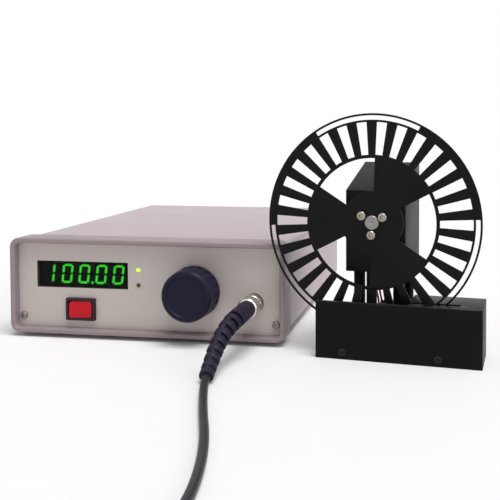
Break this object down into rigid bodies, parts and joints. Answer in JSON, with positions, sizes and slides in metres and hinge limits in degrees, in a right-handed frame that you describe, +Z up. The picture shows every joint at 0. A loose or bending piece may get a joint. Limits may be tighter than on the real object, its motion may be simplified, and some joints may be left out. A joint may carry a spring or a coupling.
{
  "type": "optical chopper",
  "caption": "Optical chopper: motor-driven slotted wheel on a standing head beside a bench control unit with display, knob, rocker switch and coaxial lead.",
  "frame": {"origin": "on the bench, in the middle of the outline of the control unit and the head, without the free lead", "axes": "+X to the right along the control unit's front, +Y towards its back, +Z up"},
  "size_m": [0.3472, 0.5375, 0.164],
  "materials": {
    "bezel": "satin",
    "panel": "satin",
    "case": "satin",
    "foot_rubber": "matte",
    "black_plastic": "satin",
    "display_tint": "gloss",
    "display_light": "gloss",
    "lamp_lit": "gloss",
    "lamp_dark": "gloss",
    "rocker_red": "gloss",
    "screw_steel": "satin",
    "nickel": "gloss",
    "knob_black": "satin",
    "board_green": "satin",
    "board_parts": "satin",
    "nylon": "matte",
    "core_steel": "matte",
    "copper": "satin",
    "black_anodised": "satin",
    "grey_anodised": "satin",
    "motor_steel": "satin",
    "wheel_black": "satin",
    "hub_metal": "satin",
    "lead_insulation": "satin",
    "cable_black": "satin"
  },
  "bodies": {
    "chassis": {"front_bezel": "bezel", "front_panel": "panel", "panel_screws": "screw_steel", "case_top": "case", "case_bottom": "case", "feet": "foot_rubber", "rear_panel": "panel", "rear_screws": "screw_steel", "power_inlet": "black_plastic", "rocker_frame": "black_plastic", "power_switch_frame": "black_plastic", "sync_jack": "nickel", "reference_jack": "nickel", "head_port": "nickel", "display_window": "display_tint", "display_digits": "display_light", "display_module": "black_plastic", "display_board": "board_green", "display_spacers": "nylon", "led_lit": "lamp_lit", "led_dark": "lamp_dark", "encoder_body": "board_parts", "main_board": "board_green", "board_spacers": "nylon", "board_screws": "screw_steel", "board_components": "board_parts", "transformer_core": "core_steel", "transformer_coil": "copper", "base_plate": "black_anodised", "base_cover": "black_anodised", "cover_screws": "screw_steel", "sensor_guard": "black_anodised", "head_socket": "nickel", "sensor_board": "board_green", "sensor_board_screws": "screw_steel", "slot_sensor": "black_plastic", "window_sensor": "black_plastic", "housing_posts": "black_anodised", "motor_housing": "grey_anodised", "housing_floor": "black_anodised", "post_screws": "screw_steel", "motor": "motor_steel", "motor_screws": "screw_steel", "motor_leads": "lead_insulation", "plug_body": "nickel", "cable": "cable_black", "boot": "cable_black", "cable_coil": "cable_black", "coil_tie": "black_plastic", "far_plug": "nickel"},
    "rotor": {"chopper_wheel": "wheel_black", "wheel_hub": "hub_metal", "hub_screws": "screw_steel", "motor_shaft": "screw_steel"},
    "plunger": {"encoder_plunger": "nylon"},
    "knob": {"knob": "knob_black", "encoder_shaft": "screw_steel"},
    "rocker": {"rocker_button": "rocker_red"},
    "power_switch": {"power_switch_button": "black_plastic"},
    "plug_nut": {"plug_nut": "nickel"}
  },
  "joints": [
    {"name": "wheel_spin", "type": "hinge", "parent": "chassis", "child": "rotor", "pos_m": [0.09745, -0.11966, 0.091], "axis": [0.1045, 0.9945, 0], "continuous": true},
    {"name": "knob_push", "type": "slide", "parent": "chassis", "child": "plunger", "axis": [0, 1, 0], "range_m": [0, 0.0005], "stiffness_N_per_m": 1500},
    {"name": "knob_turn", "type": "hinge", "parent": "plunger", "child": "knob", "pos_m": [-0.03235, -0.10866, 0.0368], "axis": [0, 1, 0], "continuous": true},
    {"name": "rocker_tilt", "type": "hinge", "parent": "chassis", "child": "rocker", "pos_m": [-0.12035, -0.10146, 0.0206], "axis": [0, 0, 1], "range_deg": [-16, 0]},
    {"name": "power_switch_tilt", "type": "hinge", "parent": "chassis", "child": "power_switch", "pos_m": [-0.09355, 0.12414, 0.042], "axis": [0, 0, 1], "range_deg": [-16, 0]},
    {"name": "plug_nut_turn", "type": "hinge", "parent": "chassis", "child": "plug_nut", "pos_m": [0.01075, -0.10866, 0.0295], "axis": [0, 1, 0], "range_deg": [-90, 0]}
  ]
}
